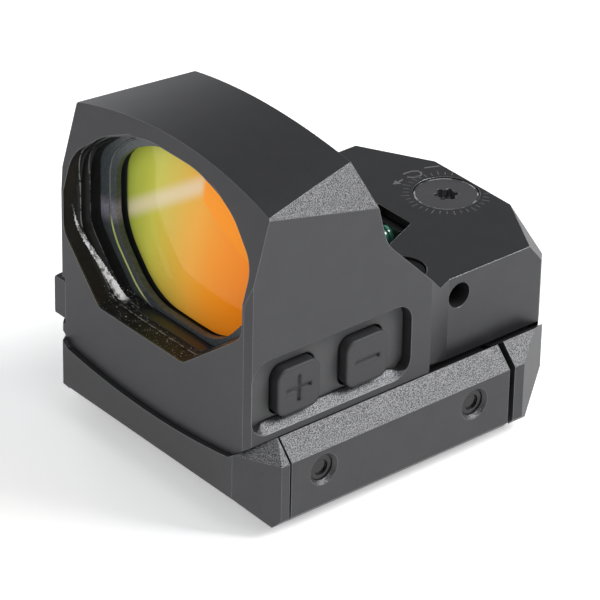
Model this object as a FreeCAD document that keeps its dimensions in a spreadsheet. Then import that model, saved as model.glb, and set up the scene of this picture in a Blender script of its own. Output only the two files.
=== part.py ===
import FreeCAD, Part
import math
import os

# Open reflex sight on a low clamp mount, millimetres.
# +Z is up, the optical axis runs along Y with the lens towards -Y, the keypad
# is on the +X side and the battery drawer on the -X side.  The origin is the
# centre of the seat that rests on the rail's flat top.

V = FreeCAD.Vector
Placement = FreeCAD.Placement
Rotation = FreeCAD.Rotation

doc = FreeCAD.newDocument("reflex_sight")
sheet = doc.addObject("Spreadsheet::Sheet", "Dims")

DIMS = [
    ("body_half", 16.75), ("rear_half", 15.1), ("front_y", -22.0), ("back_y", 24.8),
    ("crease_z", 24.3), ("lean", 0.285), ("hood_top_z", 36.4), ("hood_corner_z", 34.1),
    ("deck_z", 16.5), ("belly_z", 3.9), ("belly_half", 14.4), ("belly_corner_z", 5.05),
    ("skirt_z", 6.8), ("taper_start", 4.0), ("taper_end", 8.0), ("back_cham", 2.9),
    ("hood_back_y", -5.8),
    ("win_half", 15.75), ("win_sill_z", 12.4), ("win_top_z", 34.9), ("win_flat", 5.6), ("win_flat_l", 9.4),
    ("win_knee_z", 20.2), ("win_knee_l", 19.3), ("win_ear_z", 28.6),
    ("ap_half", 12.1), ("ap_sill_z", 13.2), ("ap_top_z", 33.6), ("ap_flat", 6.2),
    ("ap_knee_z", 19.8), ("ap_ear_z", 28.0),
    ("pad_y0", -21.3), ("pad_y1", 1.2), ("pad_z0", 7.6), ("pad_z1", 16.9), ("pad_deep", 1.7),
    ("key_y1", -14.75), ("key_y2", -5.1), ("key_z", 11.85), ("key_wide", 5.8), ("key_tall", 5.8),
    ("key_gap", 0.25), ("key_face_x", 16.7),
    ("dial_y", 20.8), ("dial_rad", 3.75), ("dial_thick", 1.5),
    ("wind_y", 15.5), ("wind_z", 10.3), ("shaft_rad", 1.5),
    ("lock_y", 9.55), ("lock_z", 13.95), ("lock_rad", 1.55),
    ("bolt_x", 10.0), ("bolt_y", 5.3), ("bolt_head", 2.75), ("bolt_rad", 1.5),
    ("mount_front", -22.7), ("mount_back", 22.5), ("mount_half", 15.2), ("jaw_out", 19.0),
    ("jaw_top_z", 4.4), ("jaw_low_z", -2.6), ("jaw_toe_z", -3.4), ("jaw_toe_x", 18.3),
    ("lip_x", 9.2), ("ear_x", 10.75), ("lip_z", -4.9),
    ("bar_y0", -17.45), ("bar_y1", 14.2), ("slot_y0", -17.7), ("slot_y1", 15.0),
    ("screw_y1", -12.9), ("screw_y2", 8.97), ("screw_z", 1.9), ("screw_rad", 1.5),
    ("cell_rad", 8.0), ("cell_thick", 3.2), ("cell_x", -5.6), ("cell_y", -11.0),
    ("tray_y0", -20.2), ("tray_y1", -1.8), ("tray_z0", 7.7), ("tray_z1", 11.5),
    ("door_x0", -17.6), ("door_x1", -15.7), ("door_z0", 7.5), ("door_z1", 13.2), ("door_y1", 0.2),
    ("seam", 0.06), ("gap", 0.15), ("run_fit", 0.05),
]
for i, (alias, value) in enumerate(DIMS):
    sheet.set("A%d" % (i + 1), alias)
    sheet.set("B%d" % (i + 1), str(value))
    sheet.setAlias("B%d" % (i + 1), alias)
doc.recompute()


class Q:
    """A number together with the sheet expression that gives it."""

    def __init__(self, v, e=None):
        self.v = float(v)
        self.e = e if e is not None else repr(float(v))
        self.bound = e is not None

    @staticmethod
    def of(x):
        return x if isinstance(x, Q) else Q(x)

    def _mix(self, other, op, val):
        q = Q(val, "(%s %s %s)" % (self.e, op, other.e))
        q.bound = self.bound or other.bound
        return q

    def __add__(self, o):
        o = Q.of(o)
        return self._mix(o, "+", self.v + o.v)

    def __radd__(self, o):
        return Q.of(o) + self

    def __sub__(self, o):
        o = Q.of(o)
        return self._mix(o, "-", self.v - o.v)

    def __rsub__(self, o):
        return Q.of(o) - self

    def __mul__(self, o):
        o = Q.of(o)
        return self._mix(o, "*", self.v * o.v)

    def __rmul__(self, o):
        return Q.of(o) * self

    def __truediv__(self, o):
        o = Q.of(o)
        return self._mix(o, "/", self.v / o.v)

    def __neg__(self):
        q = Q(-self.v, "(0 - %s)" % self.e)
        q.bound = self.bound
        return q


class Dims:
    pass


D = Dims()
for alias, value in DIMS:
    setattr(D, alias, Q(value, "Dims." + alias))


def bind(obj, prop, q):
    q = Q.of(q)
    if q.bound:
        obj.setExpression(prop, q.e)
    return q.v


def plane_of(body, role):
    for f in body.Origin.OriginFeatures:
        if f.Role == role:
            return f
    raise RuntimeError(role)


def ccw_arc(a, m, b):
    """An arc from a through m to b as a sketch keeps it, counter-clockwise, and whether its
    stored start is a."""
    e = Part.Arc(a, m, b).toShape()
    cv = e.Curve
    circle = Part.Circle(cv.Center, V(0, 0, 1), cv.Radius)
    pa, pb = circle.parameter(a), circle.parameter(b)
    forward = (m - a).cross(b - m).z > 0
    if forward:
        if pb < pa:
            pb += 2 * math.pi
        return Part.ArcOfCircle(circle, pa, pb), True
    if pa < pb:
        pa += 2 * math.pi
    return Part.ArcOfCircle(circle, pb, pa), False


def loop_geometry(points):
    """points: (x, y[, radius]) corners, or ('arc', xm, ym) for an arc through a middle point
    to the next corner.  Returns a list of (geometry, runs forward) and whether any corner
    or edge is round."""
    corners = []
    arcs = {}
    for p in points:
        if p[0] == "arc":
            arcs[len(corners) - 1] = V(Q.of(p[1]).v, Q.of(p[2]).v, 0)
        else:
            corners.append((V(Q.of(p[0]).v, Q.of(p[1]).v, 0), p[2] if len(p) > 2 else 0.0))
    n = len(corners)
    start = [c[0] for c in corners]
    end = [c[0] for c in corners]
    rounds = {}
    for i in range(n):
        r = corners[i][1]
        if not r:
            continue
        a, b, c = corners[i - 1][0], corners[i][0], corners[(i + 1) % n][0]
        u = (a - b).normalize()
        w = (c - b).normalize()
        half = math.acos(max(-1, min(1, u.dot(w)))) / 2
        t = min(r / math.tan(half), 0.48 * (a - b).Length, 0.48 * (c - b).Length)
        r = t * math.tan(half)
        mid_dir = (u + w).normalize()
        centre = b + mid_dir * (r / math.sin(half))
        rounds[i] = (b + u * t, centre - mid_dir * r, b + w * t)
        end[i] = rounds[i][0]      # where the edge arriving at this corner stops
        start[i] = rounds[i][2]    # where the edge leaving this corner starts
    geo = []
    for i in range(n):
        j = (i + 1) % n
        if i in arcs:
            geo.append(ccw_arc(start[i], arcs[i], end[j]))
        else:
            geo.append((Part.LineSegment(start[i], end[j]), True))
        if j in rounds:
            geo.append(ccw_arc(*rounds[j]))
    return geo, bool(rounds or arcs)


def profile(name, plane, points, length, offset=0.0, sym=False):
    """A PartDesign body: one closed sketch on an origin plane, padded.  offset shifts the pad
    along +Z, +Y or +X.  A loop of straight edges has every corner bound to the sheet; a loop
    with round corners carries its overall width and height."""
    import Sketcher
    body = doc.addObject("PartDesign::Body", name)
    sk = body.newObject("Sketcher::SketchObject", name + "_sketch")
    sk.AttachmentSupport = [(plane_of(body, plane), "")]
    sk.MapMode = "FlatFace"
    geo, curved = loop_geometry(points)
    sk.addGeometry([g for g, fwd in geo], False)
    n = len(geo)
    for i in range(n):
        j = (i + 1) % n
        sk.addConstraint(Sketcher.Constraint("Coincident", i, 2 if geo[i][1] else 1, j, 1 if geo[j][1] else 2))
    if not curved:
        for i, p in enumerate(points):
            for k, kind, onaxis in ((0, "DistanceX", -2), (1, "DistanceY", -1)):
                q = Q.of(p[k])
                if abs(q.v) < 1e-9:
                    sk.addConstraint(Sketcher.Constraint("PointOnObject", i, 1, onaxis))
                    continue
                c = sk.addConstraint(Sketcher.Constraint(kind, -1, 1, i, 1, q.v))
                if q.bound:
                    sk.setExpression("Constraints[%d]" % c, q.e)
    body_len = Q.of(length)
    pad = body.newObject("PartDesign::Pad", name + "_pad")
    pad.Profile = sk
    pad.Length = body_len.v
    if sym:
        pad.Midplane = True
    bind(pad, "Length", body_len)
    off = Q.of(offset)
    comp, axis = {"XY_Plane": ("z", V(0, 0, 1)), "XZ_Plane": ("y", V(0, 1, 0)), "YZ_Plane": ("x", V(1, 0, 0))}[plane]
    body.Placement = Placement(axis * off.v, Rotation())
    if off.bound:
        body.setExpression("Placement.Base." + comp, off.e)
    return body


def box(name, x0, x1, y0, y1, z0, z1):
    b = doc.addObject("Part::Box", name)
    x0, x1, y0, y1, z0, z1 = [Q.of(q) for q in (x0, x1, y0, y1, z0, z1)]
    for prop, q in (("Length", x1 - x0), ("Width", y1 - y0), ("Height", z1 - z0)):
        setattr(b, prop, q.v)
        bind(b, prop, q)
    b.Placement = Placement(V(x0.v, y0.v, z0.v), Rotation())
    for comp, q in (("x", x0), ("y", y0), ("z", z0)):
        if q.bound:
            b.setExpression("Placement.Base." + comp, q.e)
    return b


TURN = {"z": Rotation(), "x": Rotation(V(0, 1, 0), 90), "y": Rotation(V(1, 0, 0), -90)}


def cyl(name, r, h, x, y, z, axis="z"):
    c = doc.addObject("Part::Cylinder", name)
    r, h, x, y, z = [Q.of(q) for q in (r, h, x, y, z)]
    c.Radius, c.Height = r.v, h.v
    bind(c, "Radius", r)
    bind(c, "Height", h)
    c.Placement = Placement(V(x.v, y.v, z.v), TURN[axis])
    for comp, q in (("x", x), ("y", y), ("z", z)):
        if q.bound:
            c.setExpression("Placement.Base." + comp, q.e)
    return c


def cone(name, r1, r2, h, x, y, z, axis="z"):
    c = doc.addObject("Part::Cone", name)
    r1, r2, h, x, y, z = [Q.of(q) for q in (r1, r2, h, x, y, z)]
    c.Radius1, c.Radius2, c.Height = r1.v, r2.v, h.v
    bind(c, "Radius1", r1)
    bind(c, "Radius2", r2)
    bind(c, "Height", h)
    c.Placement = Placement(V(x.v, y.v, z.v), TURN[axis])
    for comp, q in (("x", x), ("y", y), ("z", z)):
        if q.bound:
            c.setExpression("Placement.Base." + comp, q.e)
    return c


def half_space(name, a, b, c, away):
    """A big block whose base lies on the plane through a, b, c, on the side away from `away`."""
    a, b, c, away = V(*a), V(*b), V(*c), V(*away)
    nrm = (b - a).cross(c - a).normalize()
    if nrm.dot(away - a) > 0:
        nrm = nrm * -1
    blk = doc.addObject("Part::Box", name)
    blk.Length = blk.Width = 60
    blk.Height = 25
    rot = Rotation(V(0, 0, 1), nrm)
    mid = (a + b + c) * (1.0 / 3)
    blk.Placement = Placement(mid - rot.multVec(V(30, 30, 0)), rot)
    return blk


def fuse(name, items):
    if len(items) == 1:
        return items[0]
    f = doc.addObject("Part::MultiFuse", name)
    f.Shapes = items
    return f


def common(name, items):
    f = doc.addObject("Part::MultiCommon", name)
    f.Shapes = items
    return f


def cut(name, base, tools):
    t = fuse(name + "_tools", tools) if len(tools) > 1 else tools[0]
    c = doc.addObject("Part::Cut", name)
    c.Base = base
    c.Tool = t
    return c


def compound(name, items):
    c = doc.addObject("Part::Compound", name)
    c.Links = items
    return c


NODES = []


def node(label, obj):
    obj.Label = label
    NODES.append((label, obj))
    return obj


# ------------------------------------------------------------------ window outlines
def window(off, kind="win"):
    o = Q.of(off)
    if kind == "win":
        hw, sill, top, flat, knee, ear = D.win_half, D.win_sill_z, D.win_top_z, D.win_flat, D.win_knee_z, D.win_ear_z
        flat_l, knee_l = D.win_flat_l, D.win_knee_l
        r1, r2, r3 = 1.6, 3.0, 4.0
    else:
        hw, sill, top, flat, knee, ear = D.ap_half, D.ap_sill_z, D.ap_top_z, D.ap_flat, D.ap_knee_z, D.ap_ear_z
        flat_l, knee_l = flat, knee
        r1, r2, r3 = 8.0, 8.0, 8.0
    k = 0.42
    x_f, x_s = flat - k * o, hw - o
    z_b, z_k, z_e, z_t = sill + o, knee + k * o, ear - 0.5 * o, top - o
    pts = [(x_f, z_b, r1), (x_s, z_k, r2), (x_s, z_e, r3)]
    # the crown: three chords that follow the hood, rounded into one another
    xa, za = x_s * 0.72, z_t - (z_t - z_e) * 0.42
    xb, zb = x_s * 0.34, z_t - 0.02
    pts += [(xa, za, 9.0), (xb, zb, 14.0)]
    left = [(-p[0], p[1], p[2]) for p in reversed(pts[2:])]
    left += [(-x_s, knee_l + k * o, r2), (-(flat_l - k * o), z_b, r1)]
    return pts + left


def win_prism(name, off, y0, y1, kind="win"):
    # a sketch on XZ pads towards -Y, so the pad hangs from its far end
    y0, y1 = Q.of(y0), Q.of(y1)
    return profile(name, "XZ_Plane", window(off, kind), y1 - y0, y1)


# ------------------------------------------------------------------ housing
side = [
    (D.front_y, 2.0), (D.front_y, D.crease_z), (D.front_y + 13.7 * D.lean, D.crease_z + 13.7),
    (D.hood_back_y - 0.4, D.crease_z + 13.7), (-2.77, 25.44, 5.0), (6.0, D.deck_z),
    (D.back_y, D.deck_z), (D.back_y, 2.0)]
side_prism = profile("hs_side", "YZ_Plane", side, 40, sym=True)
front = [
    (-D.belly_half, D.belly_corner_z), ("arc", 0.0, D.belly_z), (D.belly_half, D.belly_corner_z),
    (D.body_half, D.skirt_z), (D.body_half, D.hood_corner_z), ("arc", 0.0, D.hood_top_z),
    (-D.body_half, D.hood_corner_z), (-D.body_half, D.skirt_z)]
front_prism = profile("hs_front", "XZ_Plane", front, 60, sym=True)
c0 = 0.7
plan = [
    (D.body_half - c0, D.front_y), (D.body_half, D.front_y + c0), (D.body_half, D.taper_start),
    (D.rear_half, D.taper_end), (D.rear_half, D.back_y - D.back_cham), (D.rear_half - D.back_cham, D.back_y)]
plan = plan + [(-p[0], p[1]) for p in reversed(plan)]
plan_prism = profile("hs_plan", "XY_Plane", plan, 50)
block = common("hs_block", [side_prism, front_prism, plan_prism])

inside = (0, 0, 10)
tools = []
for s, tag in ((1, "r"), (-1, "l")):
    tools.append(half_space("hs_crown_" + tag, (s * 16.6, -19.2, 34.1), (s * 13.25, -5.8, 35.2), (s * 16.75, -4.05, 30.35), inside))
    tools.append(half_space("hs_stern_" + tag, (s * 6.5, 24.8, 16.5), (s * 15.1, 20.0, 16.5), (s * 12.2, 24.8, 12.6), inside))
    tools.append(profile("hs_bilge_" + tag, "XZ_Plane",
                         [(s * 13.9, 4.95), (s * 17.6, 8.65), (s * 17.6, 3.0), (s * 13.9, 3.0)], 18.2, 22.2))
# window, lens seat and the open tunnel behind the lens
tools.append(win_prism("hs_mouth", 0.0, -26, -19.2))
tools.append(win_prism("hs_seat", 0.25, -19.3, -13.6))
tools.append(win_prism("hs_rim", 0.3, -13.7, -12.5, "ap"))
tools.append(win_prism("hs_tunnel", 0.1, -12.6, -1.0))
upper = box("hs_upper_box", -20, 20, -1.1, 9.0, D.deck_z, 40)
tools.append(common("hs_upper", [win_prism("hs_tunnel2", 0.1, -1.2, 9.0), upper]))
# emitter notch in the front of the deck, open to the tunnel
notch = [(2.85, 13.0), (8.9, -1.1), (-8.9, -1.1), (-2.85, 13.0)]
notch_b = profile("hs_notch", "XY_Plane", notch, 6.0, D.win_sill_z)
tools.append(notch_b)
# keypad recess and the pocket behind it
kp = [(D.pad_y0, D.pad_z0, 2.3), (D.pad_y1, D.pad_z0, 2.3), (D.pad_y1, D.pad_z1, 2.3), (D.pad_y0, D.pad_z1, 2.3)]
kp_tool = profile("hs_keypad", "YZ_Plane", kp, 6.0, D.body_half - D.pad_deep)
tools.append(kp_tool)
tools.append(box("hs_keypocket", 11.6, 15.2, -20.0, 0.0, 8.4, 14.6))
tools.append(box("hs_keyrelief", 14.2, 15.2, -19.2, -1.2, 8.5, 15.7))
# battery drawer slot, open to -X, and the seat of its door
tools.append(box("hs_slot", -16.0, 3.6, D.tray_y0 - D.gap, D.tray_y1 + D.gap, D.tray_z0 - D.gap, D.tray_z1 + D.gap))
tools.append(box("hs_doorseat", -20, D.door_x1 - D.gap + 0.3, -24, D.door_y1 + D.gap, D.door_z0 - D.gap, D.door_z1 + D.gap))
tools.append(box("hs_contactroom", 3.5, 5.6, -15.0, -7.0, D.tray_z0 - D.gap, D.tray_z1 + D.gap))
# mechanism room under the rear deck, closed below by the cover plate
tools.append(box("hs_room", -8.2, 8.2, 8.0, 23.2, 2.0, 12.9))
tools.append(box("hs_coverseat", -10.2, 10.2, 7.2, 24.0, 2.0, 5.3))
# adjuster seats
tools.append(cyl("hs_dial", D.dial_rad + 0.12, 3.0, 0, D.dial_y, D.deck_z - D.dial_thick - 0.15))
tools.append(cyl("hs_dialshaft", D.shaft_rad + D.run_fit, 8.0, 0, D.dial_y, 9.5))
tools.append(cyl("hs_wdial", D.dial_rad + 0.12, 4.0, -D.rear_half - 4.0 + D.dial_thick + 0.15, D.wind_y, D.wind_z, "x"))
tools.append(cyl("hs_wshaft", D.shaft_rad + D.run_fit, 9.0, -16.0, D.wind_y, D.wind_z, "x"))
# lock screw hole on the keypad side
tools.append(cyl("hs_lock", D.lock_rad, 8.5, D.rear_half - 7.6, D.lock_y, D.lock_z, "x"))
# the two screws that hold the housing down, and the locating pins
for s, tag in ((1, "r"), (-1, "l")):
    tools.append(cyl("hs_cbore_" + tag, D.bolt_head + 0.15, 6.0, s * D.bolt_x, D.bolt_y, D.deck_z - 2.4))
    tools.append(cyl("hs_bolt_" + tag, D.bolt_rad + 0.15, 14.0, s * D.bolt_x, D.bolt_y, 2.0))
    tools.append(cyl("hs_pin_" + tag, 1.25, 3.9, s * 11.5, -17.6, 3.0))
housing = cut("hs_body", block, tools)
node("sight_body", housing)

# ------------------------------------------------------------------ optics
bez_out = win_prism("bz_out", 0.29, -17.5, -16.7)
bez_in = win_prism("bz_in", 0.0, -18.0, -16.0, "ap")
node("lens_bezel", cut("bz", bez_out, [bez_in]))
lens_prism = win_prism("ln_prism", -0.2, -17.2, -13.62, "ap")
s1 = doc.addObject("Part::Sphere", "ln_front")
s1.Radius = 90
s1.Placement = Placement(V(0, -16.6 + 90, 23.5), Rotation())
s2 = doc.addObject("Part::Sphere", "ln_back")
s2.Radius = 96
s2.Placement = Placement(V(0, -15.0 + 96, 23.5), Rotation())
lens = cut("ln", common("ln_blank", [lens_prism, s1]), [s2])
node("objective_lens", lens)
seal_out = win_prism("sl_out", 0.29, -15.6, -13.75)
seal_in = win_prism("sl_in", -0.22, -16.9, -13.0, "ap")
node("lens_seal", cut("sl", seal_out, [seal_in]))

# ------------------------------------------------------------------ emitter and adjusters
car = fuse("ec_body", [
    box("ec_plate", -4.2, 4.2, 12.0, 23.0, 10.1, 11.6),
    box("ec_neck", -2.2, 2.2, 11.95, 12.8, 10.1, 15.4)])
node("emitter_carriage", cut("ec", car, [
    cyl("ec_slot", 2.1, 3.0, 0, D.dial_y, 9.5),
    cyl("ec_post1", 0.85, 3.0, 3.0, 14.6, 9.5),
    cyl("ec_post2", 0.85, 3.0, -3.0, 14.6, 9.5),
    cyl("ec_eye", 1.25, 0.5, 0, 11.5, 14.1, "y")]))
node("emitter_diode", fuse("ed", [
    cyl("ed_can", 1.2, 0.5, 0, 11.5, 14.1, "y"),
    cyl("ed_tip", 0.95, 0.5, 0, 11.1, 14.1, "y")]))
ws = fuse("ws_body", [
    box("ws_plate", -5.6, 5.6, 9.0, 22.8, 6.3, 7.8),
    box("ws_lug", -7.5, -5.1, 12.6, 18.4, 6.3, 12.4),
    cyl("ws_post1", 0.8, 5.0, 3.0, 14.6, 7.3),
    cyl("ws_post2", 0.8, 5.0, -3.0, 14.6, 7.3)])
node("windage_slide", cut("ws", ws, [
    cyl("ws_hole", D.screw_rad + D.run_fit, 6.0, -9.0, D.wind_y, D.wind_z, "x"),
    cyl("ws_clear", 2.1, 3.0, 0, D.dial_y, 5.5)]))


def torx(name, x, y, z, depth, axis, rad=1.42):
    """A six-lobed socket: a round core and six small lobes."""
    parts = []
    a = {"z": V(0, 0, 1), "x": V(1, 0, 0)}[axis]
    parts.append(cyl(name + "_core", rad * 0.78, depth, x, y, z, axis))
    for i in range(6):
        t = math.radians(60 * i)
        u, w = math.cos(t) * rad * 0.78, math.sin(t) * rad * 0.78
        if axis == "z":
            parts.append(cyl(name + "_lobe%d" % i, rad * 0.24, depth, Q.of(x) + u, Q.of(y) + w, z, axis))
        else:
            parts.append(cyl(name + "_lobe%d" % i, rad * 0.24, depth, x, Q.of(y) + u, Q.of(z) + w, axis))
    return fuse(name, parts)


ea = fuse("ea_body", [
    cyl("ea_disc", D.dial_rad, D.dial_thick - 0.15, 0, D.dial_y, D.deck_z - D.dial_thick),
    cyl("ea_shaft", D.shaft_rad, 5.2, 0, D.dial_y, D.deck_z - D.dial_thick - 5.0)])
node("elevation_adjuster", cut("ea", ea, [torx("ea_drive", 0, D.dial_y, D.deck_z - 1.3, 1.5, "z")]))
ec_ring = cut("er", cyl("er_out", 2.2, 0.45, 0, D.dial_y, 12.35), [cyl("er_in", D.shaft_rad + 0.0, 1.2, 0, D.dial_y, 12.0)])
node("elevation_clip", ec_ring)
wa = fuse("wa_body", [
    cyl("wa_disc", D.dial_rad, D.dial_thick - 0.15, -D.rear_half + 0.15, D.wind_y, D.wind_z, "x"),
    cyl("wa_shaft", D.shaft_rad, 7.9, -D.rear_half + 1.3, D.wind_y, D.wind_z, "x")])
node("windage_adjuster", cut("wa", wa, [torx("wa_drive", -D.rear_half - 0.1, D.wind_y, D.wind_z, 1.4, "x")]))


def coil(name, rad, wire, height, turns, place):
    """A closed coil of round wire on a helix."""
    helix = Part.makeHelix(height / turns, height, rad)
    prof = Part.Wire([Part.makeCircle(wire, V(rad, 0, 0), V(0, 1, 0))])
    pipe = Part.Wire(helix).makePipeShell([prof], True, True)
    f = doc.addObject("Part::Feature", name)
    f.Shape = pipe
    f.Placement = place
    return f


node("elevation_spring", coil("es", 1.0, 0.16, 1.35, 2.5, Placement(V(0, 16.6, 8.12), Rotation())))
node("windage_spring", coil("wsp", 1.0, 0.16, 1.4, 3.0, Placement(V(6.4, 18.5, 7.9), TURN["x"])))
node("lock_screw", cut("lk", cyl("lk_body", D.lock_rad - 0.05, 3.4, D.rear_half - 7.5, D.lock_y, D.lock_z, "x"),
                       [torx("lk_drive", D.rear_half - 5.6, D.lock_y, D.lock_z, 2.0, "x", 0.85)]))

# ------------------------------------------------------------------ keypad
floor_x = D.body_half - D.pad_deep


def key_loop(cy, grow, r):
    hw, ht = D.key_wide / 2 + grow, D.key_tall / 2 + grow
    return [(cy - hw, D.key_z - ht, r), (cy + hw, D.key_z - ht, r), (cy + hw, D.key_z + ht, r), (cy - hw, D.key_z + ht, r)]


pad_in = 0.12
pad_pts = [(D.pad_y0 + pad_in, D.pad_z0 + pad_in, 2.2), (D.pad_y1 - pad_in, D.pad_z0 + pad_in, 2.2),
           (D.pad_y1 - pad_in, D.pad_z1 - pad_in, 2.2), (D.pad_y0 + pad_in, D.pad_z1 - pad_in, 2.2)]
pad = profile("kf_plate", "YZ_Plane", pad_pts, 0.35, floor_x + 0.02)
kh1 = profile("kf_hole1", "YZ_Plane", key_loop(D.key_y1, D.key_gap, 1.45), 4.0, floor_x - 1.0)
kh2 = profile("kf_hole2", "YZ_Plane", key_loop(D.key_y2, D.key_gap, 1.45), 4.0, floor_x - 1.0)
node("keypad_frame", cut("kf", pad, [kh1, kh2]))


def glyph(name, cy, plus):
    """The sunk + or - on a button's face."""
    g = [box(name + "_h", D.key_face_x - 0.25, D.key_face_x + 1, cy - 1.75, cy + 1.75, D.key_z - 0.25, D.key_z + 0.25)]
    if plus:
        g.append(box(name + "_v", D.key_face_x - 0.25, D.key_face_x + 1, cy - 0.25, cy + 0.25, D.key_z - 1.65, D.key_z + 1.65))
    return g


for label, cy, plus in (("button_plus", D.key_y1, True), ("button_minus", D.key_y2, False)):
    cap = profile("bt_" + label, "YZ_Plane", key_loop(cy, 0.0, 1.2), D.key_face_x - floor_x - 0.0, floor_x)
    stem = cyl("bs_" + label, 1.2, 0.5, floor_x - 0.4, cy, D.key_z, "x")
    node(label, cut("bc_" + label, fuse("bf_" + label, [cap, stem]), glyph("bg_" + label, cy, plus)))
sw = []
for i, cy in enumerate((D.key_y1, D.key_y2)):
    sw.append(fuse("sw%d" % i, [
        box("sw_box%d" % i, 12.5, 13.5, cy - 1.9, cy + 1.9, D.key_z - 1.9, D.key_z + 1.9),
        cyl("sw_dot%d" % i, 0.8, 0.5, 13.4, cy, D.key_z, "x")]))
node("key_switches", compound("sw_all", sw))
node("key_board", box("kb", 11.75, 12.45, -19.8, -0.2, 8.6, 14.4))

# ------------------------------------------------------------------ battery drawer
door = profile("dr_plate", "YZ_Plane",
               [(D.front_y + 0.05, D.door_z0, 0.0), (D.door_y1, D.door_z0, 0.0), (D.door_y1, D.door_z1, 0.0), (D.front_y + 0.05, D.door_z1, 0.0)],
               D.door_x1 - D.door_x0 + 0.1, D.door_x0)
drawer = box("dr_drawer", D.door_x1, 3.2, D.tray_y0, D.tray_y1, D.tray_z0, D.tray_z1)
well = cyl("dr_well", D.cell_rad + 0.1, 6.0, D.cell_x, D.cell_y, D.tray_z0 + 0.5)
# a finger notch at the forward top corner of the door
nick = profile("dr_nick", "YZ_Plane", [(-23.0, 12.2), (-20.6, 13.4), (-20.6, 14.5), (-23.0, 14.5)], 4.0, -19.0)
nick2 = profile("dr_nick2", "YZ_Plane", [(-23.0, 8.6), (-23.0, 6.5), (-20.8, 6.5), (-20.8, 7.4)], 4.0, -19.0)
door_round = profile("dr_round", "XZ_Plane",
                     [(D.door_x0, D.door_z0, 0.9), (-13.0, D.door_z0), (-13.0, D.door_z1), (D.door_x0, D.door_z1, 0.9)], 60, 30)
node("battery_tray", cut("dr", fuse("dr_body", [common("dr_door", [door, door_round]), drawer]), [well, nick, nick2]))
node("coin_cell", fuse("cc", [
    cyl("cc_can", D.cell_rad, D.cell_thick - 0.5, D.cell_x, D.cell_y, D.tray_z0 + 0.55),
    cyl("cc_cap", D.cell_rad - 1.0, D.cell_thick - 0.05, D.cell_x, D.cell_y, D.tray_z0 + 0.55)]))
node("tray_seal", cut("ts", box("ts_out", -15.3, -14.7, D.tray_y0 - 0.12, D.tray_y1 + 0.12, D.tray_z0 - 0.12, D.tray_z1 + 0.12),
                      [box("ts_in", -16, -14, D.tray_y0, D.tray_y1, D.tray_z0, D.tray_z1)]))
ct = []
for tag, y0 in (("a", -13.6), ("b", -10.2)):
    # a foot let into the room's back wall, and the leaf the drawer closes on
    ct.append(fuse("ct_" + tag, [
        box("ct_foot_" + tag, 3.9, 5.6, y0, y0 + 1.8, 7.8, 8.1),
        box("ct_leaf_" + tag, 3.9, 4.2, y0, y0 + 1.8, 7.8, 11.3)]))
node("battery_contacts", compound("ct", ct))

# ------------------------------------------------------------------ electronics and cover
node("main_board", box("pcb", -7.8, 7.8, 9.0, 22.8, 5.36, 5.9))
node("bottom_cover", box("bcv", -10.1, 10.1, 7.3, 23.9, 4.75, 5.3))

# ------------------------------------------------------------------ clamp mount
sm = D.seam
section = [
    (0.0, 0.0), (D.mount_half, 0.0), (D.jaw_toe_x, D.jaw_toe_z), (D.jaw_out, D.jaw_low_z), (D.jaw_out, D.jaw_top_z),
    (D.body_half + 0.05, D.skirt_z - sm), (D.belly_half, D.belly_corner_z - sm)]
right_pts = section[1:]
mount_loop = right_pts + [("arc", 0.0, D.belly_z - sm)] + [(-p[0], p[1]) for p in reversed(right_pts)]
m_sec = profile("mb_section", "XZ_Plane", mount_loop, D.mount_back - D.mount_front, D.mount_back)
m_plan = [
    (D.mount_half, D.mount_front), (D.jaw_out, D.mount_front + 3.85), (D.jaw_out, 16.4), (D.mount_half, D.mount_back)]
m_plan = m_plan + [(-p[0], p[1]) for p in reversed(m_plan)]
m_planp = profile("mb_plan", "XY_Plane", m_plan, 20, -8.0)
m_block = common("mb_block", [m_sec, m_planp])
# the fixed jaw's lip on the -X side reaches under the rail's ear
lip_pts = [(-D.ear_x, 0.3), (-D.ear_x, -3.1), (-D.lip_x, -4.65), (-D.lip_x, D.lip_z), (-12.6, D.lip_z), (-D.jaw_toe_x + 0.1, D.jaw_toe_z + 0.06), (-16.5, 0.3)]
lip = profile("mb_lip", "XZ_Plane", lip_pts, 31.0, 14.5)
m_body = fuse("mb_body", [m_block, lip])
mt = []
for s, tag in ((1, "r"), (-1, "l")):
    mt.append(half_space("mb_nose_" + tag, (s * 15.23, -22.7, 5.66), (s * 19.0, -18.85, 4.4), (s * 16.75, -17.7, 6.8), (0, 0, 2)))
# room for the loose clamp bar on the +X side
mt.append(profile("mb_barroom", "XZ_Plane", [(13.0, -6.0), (13.0, 9.0), (22.0, 9.0), (22.0, -6.0)], D.slot_y1 - D.slot_y0, D.slot_y1))
for i, sy in enumerate((D.screw_y1, D.screw_y2)):
    mt.append(cyl("mb_screw%d" % i, D.screw_rad + D.run_fit, 40, -20, sy, D.screw_z, "x"))
    mt.append(cyl("mb_head%d" % i, 2.4, 3.2, -19.5, sy, D.screw_z, "x"))
for s, tag in ((1, "r"), (-1, "l")):
    mt.append(cyl("mb_bolt_" + tag, D.bolt_rad, 8, s * D.bolt_x, D.bolt_y, -1))
    mt.append(cyl("mb_pin_" + tag, 1.2, 8, s * 11.5, -17.6, 1.4))
mt.append(box("mb_key", -7.5, 7.5, -2.45, 2.45, -1.0, 1.2))
mt.append(box("mb_barstep", D.ear_x, 14.0, D.slot_y0, D.slot_y1, -1.0, 0.2))
mt.append(box("mb_coverroom", -10.3, 10.3, 11.2, 21.4, 3.6, 9))
node("rail_mount_base", cut("mb_all", m_body, mt))
node("base_gasket", cut("gk", box("gk_out", -10.1, 10.1, 11.3, 21.3, 3.65, 4.7), [box("gk_in", -9.1, 9.1, 12.3, 20.3, 3, 6)]))
node("recoil_key", box("rk", -7.45, 7.45, -2.42, 2.42, -2.4, 1.15))

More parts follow.
